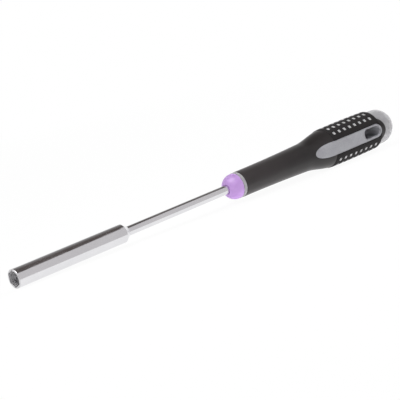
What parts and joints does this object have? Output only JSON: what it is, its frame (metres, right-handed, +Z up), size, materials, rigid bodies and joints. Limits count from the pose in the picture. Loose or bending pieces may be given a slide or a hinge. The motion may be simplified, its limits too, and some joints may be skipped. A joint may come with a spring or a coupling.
{
  "type": "nut driver",
  "caption": "Hand nut driver: deep hex socket on a round steel blade, in a rounded three-colour handle with a soft grip, side panels and a hang hole.",
  "frame": {"origin": "middle of the tool's length, on the ground plane that the lowest pips touch, below the tool axis", "axes": "+X along the tool axis from the socket mouth to the rounded end, Y along the hang hole, +Z up"},
  "size_m": [0.245, 0.0202, 0.021],
  "materials": {
    "chrome_steel": "polished chrome plate over steel",
    "purple_plastic": "satin moulded polypropylene",
    "grey_plastic": "fine matt moulded polypropylene",
    "black_soft_grip": "soft moulded grip, smooth neck and rough band"
  },
  "bodies": {
    "root": {"hex_socket": "chrome_steel", "blade": "chrome_steel", "handle_core": "purple_plastic", "handle_body": "grey_plastic", "grip_sleeve": "black_soft_grip"}
  },
  "joints": []
}
